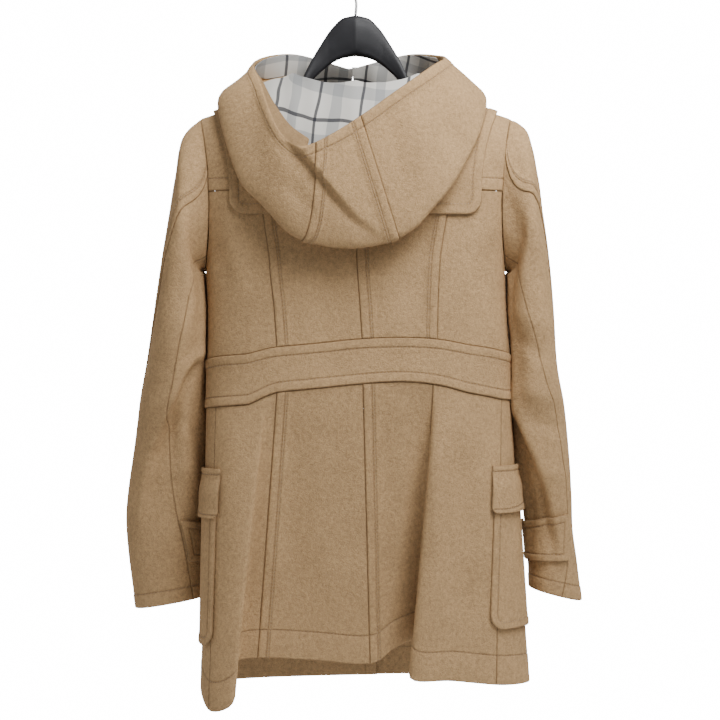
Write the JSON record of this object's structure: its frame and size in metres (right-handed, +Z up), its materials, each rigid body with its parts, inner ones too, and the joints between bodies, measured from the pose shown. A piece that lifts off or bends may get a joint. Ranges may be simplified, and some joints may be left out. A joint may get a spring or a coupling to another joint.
{
  "type": "duffle coat on a hanger",
  "caption": "Hooded wool duffle coat with a waistband, wrap-round patch pockets and a flared skirt, hanging on a plastic hanger.",
  "frame": {"origin": "inside top of the hanger's hook, where a rail carries it", "axes": "+Z up, +Y out of the back of the coat, +X towards the wearer's left"},
  "size_m": [0.5787, 0.2382, 0.9355],
  "materials": {
    "wool": "milled wool with a short nap",
    "hood_lining": "smooth woven lining with a check",
    "hanger_plastic": "satin moulded plastic",
    "hook_steel": "bright wire",
    "toggle_horn": "polished horn",
    "patch_leather": "smooth leather",
    "cord": "twisted cord"
  },
  "bodies": {
    "root": {"back_centre_left": "wool", "back_centre_right": "wool", "back_side_left": "wool", "back_side_right": "wool", "back_yoke": "wool", "cape_left": "wool", "cape_right": "wool", "cuff_strap_left": "wool", "cuff_strap_right": "wool", "front_left": "wool", "front_right": "wool", "hanger_body": "hanger_plastic", "hanger_hook": "hook_steel", "hood_centre": "wool", "hood_left": "wool", "hood_lining_back": "hood_lining", "hood_lining_left": "hood_lining", "hood_lining_right": "hood_lining", "hood_right": "wool", "loop_patch_1": "patch_leather", "loop_patch_2": "patch_leather", "loop_patch_3": "patch_leather", "pocket_flap_left": "wool", "pocket_flap_right": "wool", "pocket_left": "wool", "pocket_right": "wool", "skirt_centre_left": "wool", "skirt_centre_right": "wool", "skirt_front_left": "wool", "skirt_front_right": "wool", "skirt_side_left": "wool", "skirt_side_right": "wool", "sleeve_left_back": "wool", "sleeve_left_top": "wool", "sleeve_left_under": "wool", "sleeve_right_back": "wool", "sleeve_right_top": "wool", "sleeve_right_under": "wool", "toggle_1": "toggle_horn", "toggle_2": "toggle_horn", "toggle_3": "toggle_horn", "toggle_loop_1": "cord", "toggle_loop_2": "cord", "toggle_loop_3": "cord", "toggle_patch_1": "patch_leather", "toggle_patch_2": "patch_leather", "toggle_patch_3": "patch_leather", "waistband_back": "wool", "waistband_front_left": "wool", "waistband_front_right": "wool"}
  },
  "joints": []
}
